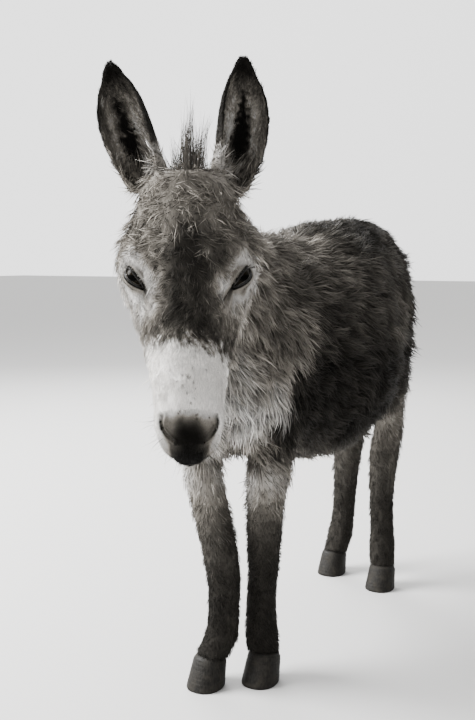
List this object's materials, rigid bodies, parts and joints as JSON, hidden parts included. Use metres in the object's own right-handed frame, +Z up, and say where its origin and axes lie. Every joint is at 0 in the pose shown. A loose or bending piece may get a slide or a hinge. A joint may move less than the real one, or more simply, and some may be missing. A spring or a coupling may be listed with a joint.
{
  "type": "donkey",
  "caption": "Young long-coated donkey standing on all fours, its neck bent and its head turned to its left, ears up, with a short upright mane and a hanging tufted tail.",
  "frame": {"origin": "middle of the whole object's bounding box in plan, at the level of the hooves' soles", "axes": "+Z up, +Y towards the tail along the trunk, +X towards the donkey's left side"},
  "size_m": [0.4434, 1.296, 1.1138],
  "materials": {
    "coat": "matt woolly coat",
    "face_coat": "matt short coat",
    "leg_coat": "matt short coat",
    "ear_coat": "matt coat",
    "mane_hair": "matt long hair",
    "hoof_horn": "dull horn",
    "eye": "wet gloss"
  },
  "bodies": {
    "root": {"trunk": "coat", "neck": "coat", "tail_dock": "coat", "tail_switch": "mane_hair", "head": "face_coat", "forelock": "mane_hair", "mane": "mane_hair", "ear_right": "ear_coat", "ear_left": "ear_coat", "eye_right": "eye", "eye_left": "eye", "leg_fore_right": "leg_coat", "leg_fore_left": "leg_coat", "leg_hind_right": "leg_coat", "leg_hind_left": "leg_coat", "hoof_fore_right": "hoof_horn", "hoof_fore_left": "hoof_horn", "hoof_hind_right": "hoof_horn", "hoof_hind_left": "hoof_horn"}
  },
  "joints": []
}
